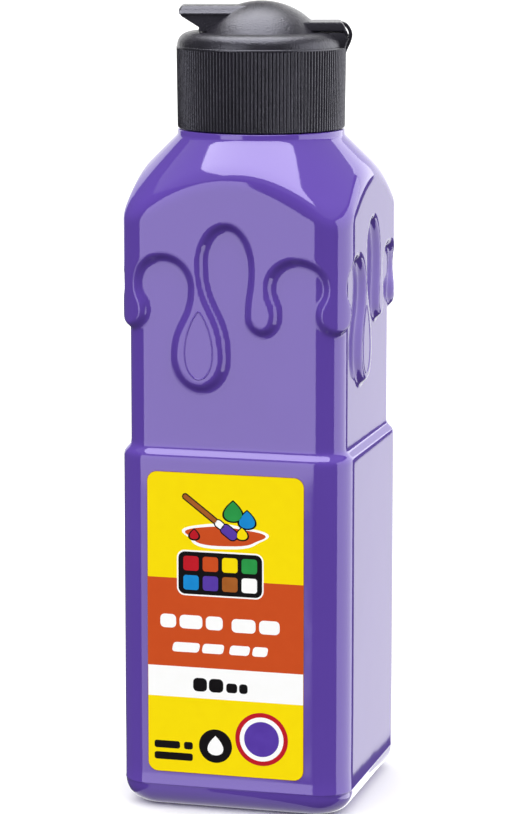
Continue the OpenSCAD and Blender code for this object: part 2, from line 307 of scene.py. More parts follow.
def capped(rings):
    """Points and faces over rings, closed at both ends by their middles."""
    rings = np.array(rings)
    return skin(rings, first=rings[0].mean(axis=0), last=rings[-1].mean(axis=0))


def curve_points(nodes, steps):
    """Smooth line through points (s, z, level): level points run across, the others upright."""
    even_pull, turning_pull = 0.5, 0.55
    line = []
    for (s0, z0, level0), (s1, z1, level1) in zip(nodes, nodes[1:]):
        ds, dz = s1 - s0, z1 - z0
        pull = even_pull if level0 == level1 else turning_pull
        h0 = (pull * ds, 0) if level0 else (0, pull * dz)
        h1 = (pull * ds, 0) if level1 else (0, pull * dz)
        for k in range(steps):
            t = k / steps
            w = ((1 - t) ** 3, 3 * t * (1 - t) ** 2, 3 * t * t * (1 - t), t ** 3)
            line.append((w[0] * s0 + w[1] * (s0 + h0[0]) + w[2] * (s1 - h1[0]) + w[3] * s1,
                         w[0] * z0 + w[1] * (z0 + h0[1]) + w[2] * (z1 - h1[1]) + w[3] * z1))
    line.append(nodes[-1][:2])
    return np.array(line)


def distance_to_line(points, line):
    """Distance of each point from a line of points."""
    best = np.full(len(points), FAR)
    for p, q in zip(line[:-1], line[1:]):
        d = q - p
        t = np.clip(((points - p) @ d) / max(d @ d, TINY), 0, 1)
        best = np.minimum(best, np.hypot(*(points - p - t[:, None] * d).T))
    return best


def inside(points, outline):
    """True where a point is inside a closed outline."""
    x, y = points[:, 0], points[:, 1]
    found = np.zeros(len(points), bool)
    for p, q in zip(outline, np.roll(outline, -1, axis=0)):
        crosses = (p[1] > y) != (q[1] > y)
        rise = q[1] - p[1] if q[1] != p[1] else TINY
        found ^= crosses & (x < (q[0] - p[0]) * (y - p[1]) / rise + p[0])
    return found


# ---------------------------------------------------------------- bottle

# Lower edge of the poured paint on one face: distance along the face, height, and 1 where it runs level
DRIP_EDGE = [(-21.63, 95.2, 1), (-17.3, 98.6, 0), (-19.1, 103.8, 0), (-13.6, 109.1, 1), (-7.9, 103.2, 0),
             (-11.35, 90.0, 0), (-6.2, 83.8, 1), (-1.35, 89.8, 0), (-5.95, 108.0, 0), (-0.9, 115.2, 1),
             (4.1, 107.0, 0), (3.35, 98.0, 0), (6.3, 95.0, 1), (8.8, 98.4, 0), (7.6, 103.8, 0),
             (12.9, 108.9, 1), (19.1, 103.8, 0), (17.3, 98.6, 0), (21.63, 95.2, 1)]
# Fine line moulded inside the long drip, as a drop with its tip up
DROP_S, DROP_LOW_Z, DROP_HIGH_Z, DROP_HALF = -6.3, 85.7, 98.9, 3.3
DROP_BEAD = 0.2
DROP_POINTS = 60
DROP_TAPER = 0.6

# The poured paint lies this far under the labelled body's face
UPPER_SINK = 0.1
# Run of the drips' sloped edge, and the length over which wall and shoulder blend
EDGE_RUN = 1.7
SHOULDER_BLEND = 2.2
# Swell of the shoulder above a plain cone, over the given drop
SHOULDER_SWELL = 0.3
SHOULDER_DROP = 13
# Thread: flat half width of its crest, its flank, and the share of its length that fades at each end
THREAD_CREST = 0.3
THREAD_FLANK = 0.6
THREAD_FADE = 8 / 52
# Rings follow the thread this far past its ends; the cap's thread leaves a gap to the neck
THREAD_REACH = 1.2
THREAD_GAP = 0.35

# Rows of half width and height, from the underside's raised middle to the standing ring
UNDERSIDE = ((9.0, 1.2), (13.4, 1.2), (14.3, 1.1), (15.0, 0.7), (15.6, 0.2), (16.1, 0.02), (16.8, 0.0))
UNDERSIDE_CORNER = 4.2
UNDERSIDE_Z = UNDERSIDE[0][1]
HEEL_STEPS = 12
HEEL_SINK = 0.07
# Rows of sink and height: the mould's parting line, the labelled wall, and the ledge above it
BODY_WALL = ((0.05, HEEL_R + 0.08), (0.0, HEEL_R + 0.14), (0.0, HEEL_R + 0.34), (0.05, HEEL_R + 0.5),
             (0.05, 9.0), (0.0, 20.0), (0.0, 40.0), (0.0, 60.0), (0.0, 69.2))
LEDGE = ((0.01, 69.7), (0.05, 70.1), (0.15, 70.45), (0.33, 70.75), (0.58, 71.05), (0.85, 71.33),
         (1.08, 71.6), (1.26, 71.88), (1.37, 72.2), (1.42, 72.6), (RELIEF, 73.1), (RELIEF, 78.0))
# The drips reach from their foot to their crest; the plain shoulder follows
DRIP_FOOT_Z, DRIP_CREST_Z = 81.6, 117.6
DRIP_STEP, SHOULDER_STEP, THREAD_STEP = 0.4, 0.6, 0.42
# Heights of the inside's rings, and the rows of sink and height below them
INSIDE_UPPER = (129.4, 127.5, 125.5, 123.5, 121.5, 119.5, 117.5, 115.5, 112.0, 95.0, 73.0)
INSIDE_LOWER = ((RELIEF, 71.2), (0.6, 70.4), (0.0, 69.7), (0.0, 40.0), (0.0, 7.0))
SHOULDER_WALL = 1.5

# Points round a wall ring
COLUMNS = 440
PERIMETER = 8 * CORE + 2 * pi * CORNER_R
FACE_LENGTH = PERIMETER / 4


def quarter_turned(x, y, quarter):
    """Point turned about the bottle's axis by whole quarters."""
    c, n = round(cos(quarter * pi / 2)), round(sin(quarter * pi / 2))
    return c * x - n * y, n * x + c * y


def wall_columns():
    """Anchor on the unit square, outward normal and distance along the face for every column."""
    anchors, normals, along = [], [], []
    for i in range(COLUMNS):
        s = (i + 0.5) * PERIMETER / COLUMNS - FACE_LENGTH / 2
        quarter = int((s + FACE_LENGTH / 2) // FACE_LENGTH)
        s -= quarter * FACE_LENGTH
        side = 1 if s > 0 else -1
        if abs(s) <= CORE:
            anchor, normal = (s / CORE, -1), (0, -1)
        else:
            turn = (abs(s) - CORE) / CORNER_R
            anchor, normal = (side, -1), (side * sin(turn), -cos(turn))
        anchors.append(quarter_turned(*anchor, quarter))
        normals.append(quarter_turned(*normal, quarter))
        along.append(s)
    return np.array(anchors), np.array(normals), np.array(along)


ANCHOR, NORMAL, ALONG = wall_columns()
REFERENCE = ANCHOR * CORE + NORMAL * CORNER_R
TURN = np.arctan2(REFERENCE[:, 1], REFERENCE[:, 0])


def at_height(flat, z):
    """Flat points set at a height."""
    return np.column_stack([flat, np.full(len(flat), z)])


def square_ring(core, corner, z):
    """Ring of a square with rounded corners."""
    return at_height(ANCHOR * core + NORMAL * np.reshape(corner, (-1, 1)), z)


def round_ring(radius, z):
    """Ring of the wall's columns at a radius, which is one number or one per column."""
    radius = np.broadcast_to(radius, TURN.shape)
    return at_height(np.column_stack([radius * np.cos(TURN), radius * np.sin(TURN)]), z)


def shoulder_radius(z):
    """Radius of the slightly domed shoulder at a height."""
    drop = SHOULDER_Z - z
    return (COLLAR_R + drop / SHOULDER_SLOPE
            + SHOULDER_SWELL * sin(pi * min(max(drop / SHOULDER_DROP, 0), 1)))


def shouldered(ring, z, inset=0.0):
    """Brings a wall ring in to the shoulder where the shoulder is nearer the axis."""
    flat = ring[:, :2]
    radius = np.hypot(*flat.T)
    kept = soft_min(radius, shoulder_radius(z) - inset, SHOULDER_BLEND)
    return at_height(flat * (kept / radius)[:, None], z)


def drop_line():
    """Closed outline of the drop moulded inside the long drip."""
    middle, reach = (DROP_LOW_Z + DROP_HIGH_Z) / 2, (DROP_HIGH_Z - DROP_LOW_Z) / 2
    turns = np.linspace(0, 2 * pi, DROP_POINTS + 1)
    across = DROP_HALF * np.sin(turns) * np.abs(np.sin(turns / 2)) ** DROP_TAPER
    return np.column_stack([DROP_S + across, middle + reach * np.cos(turns)])


def drip_sink(z):
    """How far the wall is sunk at each column of a ring at height z."""
    line = curve_points(DRIP_EDGE, steps=14)
    period = np.array([FACE_LENGTH, 0])
    strip = np.vstack([line - period, line, line + period])
    over_all = 2 * MOUTH_Z
    outline = np.vstack([strip, [[2 * FACE_LENGTH, over_all], [-2 * FACE_LENGTH, over_all]]])
    points = np.column_stack([ALONG, np.full(COLUMNS, z)])
    away = distance_to_line(points, strip)
    raised = inside(points, outline)
    away = np.where(raised, away, -away)
    return UPPER_SINK + (RELIEF - UPPER_SINK) * (1 - ease((away + EDGE_RUN / 2) / EDGE_RUN))


def thread_rise(turn, z, start, depth, offset):
    """Height of a helical thread at each column of a ring at height z."""
    rise = np.zeros_like(turn)
    whole = radians(360 * THREAD_TURNS)
    lead = whole * THREAD_FADE
    for lap in range(-1, 3):
        angle = np.mod(turn - offset, 2 * pi) + lap * 2 * pi
        within = (angle >= 0) & (angle <= whole)
        grow = np.clip(np.minimum(angle, whole - angle) / lead, 0, 1)
        away = np.abs(z - (start + THREAD_PITCH * angle / (2 * pi)))
        shape = 1 - ease((away - THREAD_CREST * grow) / THREAD_FLANK)
        rise = np.maximum(rise, np.where(within, depth * grow * shape, 0))
    return rise


def bottle_rings():
    """Rings from the underside up the outside, over the lip and down the inside to its floor."""
    rings = [square_ring(half - UNDERSIDE_CORNER, UNDERSIDE_CORNER, z) for half, z in UNDERSIDE]
    for k in range(HEEL_STEPS + 1):
        a = k / HEEL_STEPS * pi / 2
        sunk = HEEL_R * (1 - sin(a))
        corner = CORNER_R - 0.5 * sunk
        half = FACE - sunk - HEEL_SINK
        rings.append(square_ring(half - corner, corner, HEEL_R * (1 - cos(a))))
    for sunk, z in BODY_WALL + LEDGE:
        rings.append(square_ring(CORE, CORNER_R - sunk, z))
    # Waist, poured drips and shoulder
    for z in np.arange(DRIP_FOOT_Z, DRIP_CREST_Z, DRIP_STEP):
        rings.append(shouldered(square_ring(CORE, CORNER_R - drip_sink(z), z), z))
    for z in np.arange(DRIP_CREST_Z, SHOULDER_Z - 0.3, SHOULDER_STEP):
        rings.append(shouldered(square_ring(CORE, CORNER_R - UPPER_SINK, z), z))
    # Collar, neck with its thread, lip and bore
    for radius, z in ((COLLAR_R + 0.12, SHOULDER_Z - 0.05), (COLLAR_R, SHOULDER_Z + 0.25),
                      (COLLAR_R, COLLAR_TOP - 0.2), (COLLAR_R - 0.06, COLLAR_TOP - 0.06),
                      (COLLAR_R - 0.2, COLLAR_TOP), (NECK_R + 0.5, COLLAR_TOP),
                      (NECK_R + 0.15, COLLAR_TOP + 0.12), (NECK_R, COLLAR_TOP + 0.5)):
        rings.append(round_ring(radius, z))
    start = MOUTH_Z - THREAD_DROP - THREAD_PITCH * THREAD_TURNS
    for z in np.arange(start - THREAD_REACH, MOUTH_Z - 1.6, THREAD_STEP):
        rings.append(round_ring(NECK_R + thread_rise(TURN, z, start, THREAD_DEPTH, 0.0), z))
    for radius, z in ((NECK_R, MOUTH_Z - 0.3), (NECK_R - 0.1, MOUTH_Z - 0.08), (NECK_R - 0.3, MOUTH_Z),
                      (BORE_R + 0.3, MOUTH_Z), (BORE_R + 0.1, MOUTH_Z - 0.08), (BORE_R, MOUTH_Z - 0.3),
                      (BORE_R, SHOULDER_Z + 0.2), (BORE_R + 0.2, SHOULDER_Z - 0.6),
                      (BORE_R + 1.2, SHOULDER_Z - 1.2)):
        rings.append(round_ring(radius, z))
    # Inside of the shoulder, waist and body
    for z in INSIDE_UPPER:
        rings.append(shouldered(square_ring(CORE, CORNER_R - RELIEF - WALL, z), z, SHOULDER_WALL))
    for sunk, z in INSIDE_LOWER:
        rings.append(square_ring(CORE, CORNER_R - WALL - sunk, z))
    inner_heel = HEEL_R - WALL
    steps = HEEL_STEPS // 2
    for k in range(steps + 1):
        a = k / steps * pi / 2
        rings.append(square_ring(CORE - inner_heel * (1 - cos(a)), CORNER_R - WALL,
                                 FLOOR_Z + inner_heel * (1 - sin(a))))
    rings.append(square_ring(6.0, 4.0, FLOOR_Z))
    return rings


def build_drop_lines():
    """Fine half-round bead of the drop, standing as high as the face allows, on all four faces."""
    line = drop_line()[:-1]
    along = np.roll(line, -1, axis=0) - np.roll(line, 1, axis=0)
    along /= np.linalg.norm(along, axis=1)[:, None]
    outward = np.column_stack([along[:, 1], -along[:, 0]])
    section = [(DROP_BEAD * cos(a), DROP_BEAD * (1 - sin(a))) for a in np.linspace(pi, 0, 9)]
    root = 0.6 * DROP_BEAD
    section += [(root, 2 * DROP_BEAD), (-root, 2 * DROP_BEAD)]
    for quarter in range(4):
        rings = []
        for p, o in zip(line, outward):
            flat = [(p[0] + o[0] * side, -(FACE - depth), p[1] + o[1] * side) for side, depth in section]
            rings.append([(*quarter_turned(x, y, quarter), z) for x, y, z in flat])
        verts, faces = skin(rings, loop=True)
        make(f"drop_line_{quarter + 1}", verts, faces, VIOLET, "bottle", BOTTLE_CRISP)


def build_bottle():
    """The blown bottle in one skin, with the drop lines on its faces."""
    verts, faces = skin(bottle_rings(), first=(0, 0, UNDERSIDE_Z), last=(0, 0, FLOOR_Z))
    piece = make("moulded_bottle", verts, faces, VIOLET, "bottle", BOTTLE_CRISP)
    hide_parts("bottle")
    build_drop_lines()


# ---------------------------------------------------------------- labels

# Places on a label are millimetres across from its middle, and up from the table
FILM_Y = 0.08
FILM_SEAT = 0.002
INK_LIFT = 0.006
INK_ROOT = 0.012
LABEL_R = 2.0
LABEL_TRIM = 0.09
WHITE_Z, ORANGE_Z, HEAD_Z = 22.9, 29.0, 46.6

# Rows of bars: name, left end, height, bar widths, bar height, gap, ink, slant
FRONT_ROWS = (("name_line", -13.1, 38.0, (3.2, 4.6, 3.4), 2.7, 0.7, WHITE_INK, 0.0),
              ("name_line_end", 1.3, 37.8, (4.8, 4.1), 2.7, 0.7, WHITE_INK, 0.0),
              ("second_line", -10.6, 32.9, (5.4, 4.3), 1.9, 0.6, WHITE_INK, 0.2),
              ("second_line_end", 0.9, 32.9, (4.0, 3.0), 1.9, 0.6, WHITE_INK, 0.2),
              ("content_line", -6.5, 25.6, (2.8, 2.9), 2.7, 0.4, BLACK_INK, 0.0),
              ("content_unit", 0.2, 25.3, (2.2, 1.7), 1.9, 0.4, BLACK_INK, 0.0),
              ("origin_line", -14.4, 13.2, (5.2, 1.8), 1.5, 0.8, BLACK_INK, 0.0),
              ("origin_line_2", -14.4, 10.9, (7.8,), 1.5, 0.7, BLACK_INK, 0.0))
REAR_ROWS = (("rear_title", -8.6, 59.5, (6.4, 3.6, 5.2), 2.5, 1.0, BLACK_INK, 0.0),
             ("rear_line_1", -13.0, 42.6, (7.6, 4.0, 8.4, 3.6), 1.3, 0.8, WHITE_INK, 0.0),
             ("rear_line_2", -13.0, 39.0, (4.6, 8.2, 6.4, 4.4), 1.3, 0.8, WHITE_INK, 0.0),
             ("rear_line_3", -13.0, 35.4, (8.8, 5.2, 4.2, 4.6), 1.3, 0.8, WHITE_INK, 0.0),
             ("rear_line_4", -13.0, 31.8, (5.8, 7.4), 1.3, 0.8, WHITE_INK, 0.0),
             ("rear_content", -6.0, 25.8, (6.6, 4.4), 2.2, 1.0, BLACK_INK, 0.0))
# Discs: name, radius, ink and layer
FRONT_SPOTS = (("colour_ring", 5.3, RED_INK, 1), ("colour_ground", 4.4, WHITE_INK, 2),
               ("colour_spot", 3.5, VIOLET_INK, 4))
# Brush: name, length, width, place along its length, ink
BRUSH_PARTS = (("brush_handle", 8.2, 0.85, 3.9, BROWN_INK), ("brush_ferrule", 1.9, 1.3, -1.0, WHITE_INK),
               ("brush_head", 3.6, 1.9, -3.4, VIOLET_INK))
BRUSH_LEAN = 37
BRUSH_RIM = 0.5
BRUSH_ROUND = 1 / 2.1
DROP_RIM = 0.6
DROP_SLIM = 0.78
BAR_ROUND = 0.32
# Drops round the brush: place, height, ink
PAINT_DROPS = ((1.6, 60.3, 3.9, GREEN_INK), (4.4, 58.8, 3.4, BLUE_INK),
               (3.4, 56.0, 2.3, YELLOW_INK), (-6.2, 55.4, 1.9, RED_INK))
PAN_INKS = ((RED_INK, ORANGE_INK, YELLOW_INK, GREEN_INK), (BLUE_INK, VIOLET_INK, BROWN_INK, WHITE_INK))


def offset_rounded(width, height, radius, steps=8):
    """Outline of a rounded rectangle, anticlockwise from its lower right corner."""
    points = []
    for k, (cx, cz) in enumerate(((1, -1), (1, 1), (-1, 1), (-1, -1))):
        for i in range(steps + 1):
            a = radians(-90 + 90 * k + 90 * i / steps)
            points.append((cx * (width / 2 - radius) + radius * cos(a),
                           cz * (height / 2 - radius) + radius * sin(a)))
    return points


def disc(radius, steps=48):
    """Outline of a disc."""
    return [(radius * cos(2 * pi * i / steps), radius * sin(2 * pi * i / steps)) for i in range(steps)]


def printed(name, outline, centre, finish, layer=0, back=False, thick=None):
    """Thin layer of film or ink on a face, from an outline in millimetres across and up."""
    top = FACE + (thick if thick else FILM_Y + INK_LIFT * (layer + 1))
    low = FACE + FILM_SEAT if thick else top - INK_LIFT - INK_ROOT
    side = 1 if back else -1
    points = [(centre[0] + x, centre[1] + z) for x, z in outline]
    inner = [(-side * x, side * low, z) for x, z in points]
    outer = [(-side * x, side * top, z) for x, z in points]
    count = len(points)
    faces = [list(range(count, 2 * count)), list(range(count - 1, -1, -1))]
    faces += [[i, (i + 1) % count, count + (i + 1) % count, count + i] for i in range(count)]
    return make(name, inner + outer, faces, finish, "bottle", PRINT_CRISP)


def bars(rows, middle, back=False):
    """Rows of plain bars where lines of print would be, each from its left end."""
    for name, left, z, widths, height, gap, finish, slant in rows:
        x = middle + left
        for k, width in enumerate(widths):
            bar = [(px + slant * pz, pz) for px, pz in offset_rounded(width, height, height * BAR_ROUND, 4)]
            printed(f"{name}_{k + 1}", bar, (x + width / 2, z), finish, 2, back)
            x += width + gap


def band(width, low, high, radius, round_low, round_high, steps=8):
    """Outline of a colour band that keeps the label's rounded corners where it meets them."""
    points = []
    for k, (cx, z, is_round) in enumerate(((1, low, round_low), (1, high, round_high),
                                           (-1, high, round_high), (-1, low, round_low))):
        if not is_round:
            points.append((cx * width / 2, z))
            continue
        up = 1 if k in (0, 3) else -1
        for i in range(steps + 1):
            a = radians(-90 + 90 * k + 90 * i / steps)
            points.append((cx * (width / 2 - radius) + radius * cos(a),
                           z + up * radius + radius * sin(a)))
    return points


def build_label(prefix, low, high, node, back):
    """Film with a fine brown edge, under four bands of colour. Gives the label's middle."""
    width, top, foot = high[0] - low[0], high[2], low[2]
    middle = (low[0] + high[0]) / 2 * (-1 if back else 1)
    film = printed(prefix + "_film", offset_rounded(width, top - foot, LABEL_R),
                   (middle, (top + foot) / 2), BROWN_INK, back=back, thick=FILM_Y)
    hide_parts(node)
    for name, z0, z1, finish, low_round, high_round in (
            ("yellow_foot", foot + LABEL_TRIM, WHITE_Z, YELLOW_INK, True, False),
            ("white_band", WHITE_Z, ORANGE_Z, WHITE_INK, False, False),
            ("orange_band", ORANGE_Z, HEAD_Z, ORANGE_INK, False, False),
            ("yellow_head", HEAD_Z, top - LABEL_TRIM, YELLOW_INK, False, True)):
        edge = band(width - 2 * LABEL_TRIM, z0, z1, LABEL_R - LABEL_TRIM, low_round, high_round)
        printed(f"{prefix}_{name}", edge, (middle, 0), finish, 0, back)
    return middle


def blob(length, height, steps=40):
    """Outline of a flat puddle with a wavy rim."""
    turns = np.arange(steps) * 2 * pi / steps
    wave = 1 + 0.07 * np.sin(3 * turns + 0.6) + 0.05 * np.sin(5 * turns)
    return list(zip(length / 2 * wave * np.cos(turns), height / 2 * wave * np.sin(turns)))


def drop(height, width, steps=32):
    """Outline of a drop with its tip up."""
    turns = np.arange(steps) * 2 * pi / steps
    across = 0.77 * width * np.sin(turns) * np.abs(np.sin(turns / 2))
    return list(zip(across, height / 2 * np.cos(turns)))


def leaning(outline, degrees):
    """Outline turned anticlockwise."""
    c, n = cos(radians(degrees)), sin(radians(degrees))
    return [(c * x - n * z, n * x + c * z) for x, z in outline]


def front_picture(middle):
    """A brush lying in a puddle of paint, with drops in the range's colours."""
    puddle = (middle - 0.2, 55.3)
    printed("puddle_edge", blob(16.6, 5.0), puddle, WHITE_INK, 1)
    printed("puddle", blob(15.4, 3.8), puddle, ORANGE_INK, 2)
    for name, length, wide, along, finish in BRUSH_PARTS:
        at = (middle - 1.9 - along * cos(radians(BRUSH_LEAN)), 58.2 + along * sin(radians(BRUSH_LEAN)))
        rim_wide = wide + BRUSH_RIM
        edge = offset_rounded(length + BRUSH_RIM, rim_wide, rim_wide * BRUSH_ROUND, 4)
        core = offset_rounded(length, wide, wide * BRUSH_ROUND, 4)
        printed(name + "_edge", leaning(edge, -BRUSH_LEAN), at, BLACK_INK, 3)
        printed(name, leaning(core, -BRUSH_LEAN), at, finish, 4)
    for k, (x, z, size, finish) in enumerate(PAINT_DROPS):
        at = (middle + x, z)
        wide = size * DROP_SLIM
        printed(f"paint_drop_edge_{k + 1}", drop(size + DROP_RIM, wide + DROP_RIM), at, BLACK_INK, 3)
        printed(f"paint_drop_{k + 1}", drop(size, wide), at, finish, 4)


def front_panel(middle):
    """Plain picture of a paint box: a dark tray with two rows of colour pans."""
    at = (middle - 1.0, 47.75)
    printed("tray_edge", offset_rounded(17.4, 9.0, 1.6), at, WHITE_INK, 1)
    printed("tray", offset_rounded(16.8, 8.4, 1.35), at, BLACK_INK, 2)
    pan_spacing, row_spacing = 3.9, 3.8
    for row, inks in enumerate(PAN_INKS):
        for k, finish in enumerate(inks):
            place = (at[0] + pan_spacing * (k - 1.5), at[1] + row_spacing / 2 - row_spacing * row)
            printed(f"pan_{row + 1}_{k + 1}", offset_rounded(3.1, 2.9, 0.55, 4), place, finish, 4)


def front_artwork(middle):
    """Pictures of a brush and a paint box, bars where print would be, and plain signs at the foot."""
    front_picture(middle)
    front_panel(middle)
    bars(FRONT_ROWS, middle)
    printed("dark_disc", disc(3.35), (middle - 2.0, 13.5), BLACK_INK, 2)
    printed("dark_disc_drop", drop(3.9, 2.7), (middle - 2.0, 13.6), WHITE_INK, 4)
    for name, radius, finish, layer in FRONT_SPOTS:
        printed(name, disc(radius), (middle + 7.3, 15.5), finish, layer)


def rear_artwork(middle):
    """Bars in place of the directions on the back, with three colour drops under them."""
    bars(REAR_ROWS, middle, True)
    spacing = 7.5
    for k, finish in enumerate((VIOLET_INK, RED_INK, BLUE_INK)):
        place = (middle + spacing * (k - 1), 14.6)
        printed(f"rear_drop_{k + 1}", drop(6.2, 4.6), place, finish, 2, True)


def build_labels():
    """Both labels; the rear one has the front's bands."""
    front_artwork(build_label("front", LABEL_LOW, LABEL_HIGH, "front_label", False))
    rear_artwork(build_label("rear", REAR_LOW, REAR_HIGH, "rear_label", True))


# ---------------------------------------------------------------- cap and lid

# Ribs round the skirt, and the shape of one from groove to groove: 1 is the groove's floor
RIBS = 144
RIB_SHAPE = (1.0, 0.45, 0.08, 0.0, 0.08, 0.45)
RIB_DEPTH = 0.32
SKIRT_DRAFT = 0.22
CAP_THREAD_STEP = 0.4
# The crown's curve is a quarter circle's, its sine and cosine raised to this power
CROWN_POWER = 2 / 2.35
CROWN_STEPS = 14
# The crown stands in from the skirt's bead by a fine step
CROWN_STEP = 0.15
RECESS_R = LID_R + 0.2
# Rows of radius and height: the deck's recess, the spout and its bore, and the deck's underside
DECK_ROWS = ((RECESS_R + 0.3, DECK_Z), (RECESS_R + 0.1, DECK_Z - 0.04), (RECESS_R, DECK_Z - 0.2),
             (RECESS_R, RIM_SEAT_Z + 0.1), (RECESS_R - 0.1, RIM_SEAT_Z), (4.1, RIM_SEAT_Z),
             (3.8, RIM_SEAT_Z + 0.1), (3.45, RIM_SEAT_Z + 0.6), (3.25, RIM_SEAT_Z + 1.8),
             (3.1, RIM_SEAT_Z + 2.02), (2.85, RIM_SEAT_Z + 2.1), (2.05, RIM_SEAT_Z + 2.1),
             (1.8, RIM_SEAT_Z + 2.0), (1.7, RIM_SEAT_Z + 1.75), (1.7, DECK_UNDER_Z + 0.1),
             (1.8, DECK_UNDER_Z), (SKIRT_BORE_R - 0.3, DECK_UNDER_Z), (SKIRT_BORE_R, DECK_UNDER_Z - 0.3))
# Rows of radius, height and rib depth: the ribs end under a plain bead, and the crown's step follows
BEAD_ROWS = ((CAP_R - 0.03, CROWN_Z - 0.5, 1.0), (CAP_R - 0.03, CROWN_Z - 0.34, 0.9),
             (CAP_R - 0.02, CROWN_Z - 0.28, 0.0), (CAP_R, CROWN_Z - 0.2, 0.0),
             (CAP_R, CROWN_Z - 0.02, 0.0), (CAP_R - 0.05, CROWN_Z + 0.05, 0.0),
             (CAP_R - 0.13, CROWN_Z + 0.09, 0.0), (CAP_R - CROWN_STEP, CROWN_Z + 0.13, 0.0))
CAP_COLUMNS = RIBS * len(RIB_SHAPE)
CAP_TURN = np.arange(CAP_COLUMNS) * 2 * pi / CAP_COLUMNS
RIB_SINK = np.tile(RIB_SHAPE, RIBS)


def turned(radius, z, turn):
    """Ring at a radius, which is one number or one per angle."""
    radius = np.broadcast_to(radius, turn.shape)
    return np.column_stack([radius * np.cos(turn), radius * np.sin(turn), np.full(len(turn), z)])


def cap_point(u, v, z):
    """Point u millimetres towards the hinge, v across and z up."""
    return (u * cos(CAP_ANGLE) - v * sin(CAP_ANGLE), u * sin(CAP_ANGLE) + v * cos(CAP_ANGLE), z)


def cap_rings():
    """Rings up the ribbed skirt, over the crown and deck, and down the threaded inside."""
    rings = []

    def ring(radius, z, ribs=0.0):
        rings.append(turned(radius - RIB_DEPTH * ribs * RIB_SINK, z, CAP_TURN))

    foot_r = CAP_R - SKIRT_DRAFT
    ring(foot_r - 0.35, SKIRT_Z)
    ring(foot_r - 0.1, SKIRT_Z + 0.06, 0.4)
    ring(foot_r, SKIRT_Z + 0.25, 1.0)
    for share in (0.25, 0.5, 0.75):
        ring(foot_r + 0.2 * share, SKIRT_Z + (CROWN_Z - SKIRT_Z) * share, 1.0)
    for radius, z, ribs in BEAD_ROWS:
        ring(radius, z, ribs)
    for k in range(1, CROWN_STEPS):
        a = k / CROWN_STEPS * pi / 2
        ring(CAP_R - CROWN_RUN + (CROWN_RUN - CROWN_STEP) * cos(a) ** CROWN_POWER,
             CROWN_Z + CROWN_H * sin(a) ** CROWN_POWER)
    for radius, z in DECK_ROWS:
        ring(radius, z)
    # The cap's thread runs half a pitch under the neck's
    start = MOUTH_Z - THREAD_DROP - THREAD_PITCH * (THREAD_TURNS + 0.5)
    end = start + THREAD_PITCH * THREAD_TURNS
    for z in np.arange(end + THREAD_REACH, start - THREAD_REACH, -CAP_THREAD_STEP):
        rise = thread_rise(CAP_TURN, z, start, SKIRT_BORE_R - NECK_R - THREAD_GAP, CAP_ANGLE)
        rings.append(turned(SKIRT_BORE_R - rise, z, CAP_TURN))
    ring(SKIRT_BORE_R, SKIRT_Z + 0.4)
    ring(SKIRT_BORE_R + 0.15, SKIRT_Z + 0.08)
    ring(SKIRT_BORE_R + 0.4, SKIRT_Z)
    return rings


def build_cap():
    """The screw cap's own moulding, in one closed skin."""
    verts, faces = skin(cap_rings(), loop=True)
    piece = make("ribbed_cap", verts, faces, BLACK, "cap", CAP_CRISP)
    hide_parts("cap_base")


def swept(profile_at, stations):
    """Points and faces of a closed side profile carried across the cap at each v."""
    return capped([[cap_point(u, v, z) for u, z in profile_at(v)] for v in stations])


def bevelled(half, bevel):
    """Stations across a moulding with rounded ends."""
    edge = [half, half - 0.3 * bevel, half - bevel]
    inner = np.linspace(-(half - bevel), half - bevel, 13)
    return [-e for e in edge[:2]] + list(inner) + edge[1::-1]


def shrink(profile, amount):
    """Profile drawn in by amount along its corners' bisectors."""
    points = np.array(profile, float)
    before, after = np.roll(points, 1, axis=0), np.roll(points, -1, axis=0)
    e0 = (points - before) / np.linalg.norm(points - before, axis=1)[:, None]
    e1 = (after - points) / np.linalg.norm(after - points, axis=1)[:, None]
    n0 = np.column_stack([e0[:, 1], -e0[:, 0]])
    n1 = np.column_stack([e1[:, 1], -e1[:, 0]])
    n = n0 + n1
    n /= np.maximum((n * n).sum(axis=1), 0.5)[:, None] / 2
    return points - n * amount


def rounded_profile(corners, steps=4):
    """Closed profile with a radius on each corner: corners are (u, z, radius), anticlockwise."""
    out = []
    count = len(corners)
    # A radius takes at most this share of a side, and is left out when it is smaller than the least
    most, least = 0.45, 0.01
    for k in range(count):
        u, z, radius = corners[k]
        p = np.array((u, z))
        before = np.array(corners[k - 1][:2]) - p
        after = np.array(corners[(k + 1) % count][:2]) - p
        cut = min(radius, most * np.linalg.norm(before), most * np.linalg.norm(after))
        if cut < least:
            out.append((u, z))
            continue
        a = p + before / np.linalg.norm(before) * cut
        b = p + after / np.linalg.norm(after) * cut
        for i in range(steps + 1):
            t = i / steps
            out.append(tuple((1 - t) ** 2 * a + 2 * t * (1 - t) * p + t * t * b))
    return out


def eased_ends(profile, half, bevel):
    """Profile as a function of v that draws in towards the ends."""
    def at(v):
        over = max(abs(v) - (half - bevel), 0)
        amount = bevel - sqrt(max(bevel ** 2 - over ** 2, 0))
        return shrink(profile, amount) if amount > 0 else np.array(profile)
    return at


ARM_HALF = 6.0


def build_bracket():
    """Block on the crown that carries the hinge."""
    profile = rounded_profile([(LID_R + 0.9, CROWN_Z, 0), (CAP_R - 0.4, CROWN_Z - 0.18, 0.1),
                               (HINGE_U, HINGE_Z - 0.15, 0.12), (HINGE_U - 0.28, HINGE_Z - 0.15, 0.1),
                               (HINGE_U - 0.9, DECK_Z - 0.02, 0.3), (LID_R + 0.9, DECK_Z - 0.02, 0)])
    bevel = 0.3
    verts, faces = swept(eased_ends(profile, ARM_HALF, bevel), bevelled(ARM_HALF, bevel))
    make("hinge_bracket", verts, faces, BLACK, "cap", CAP_CRISP)


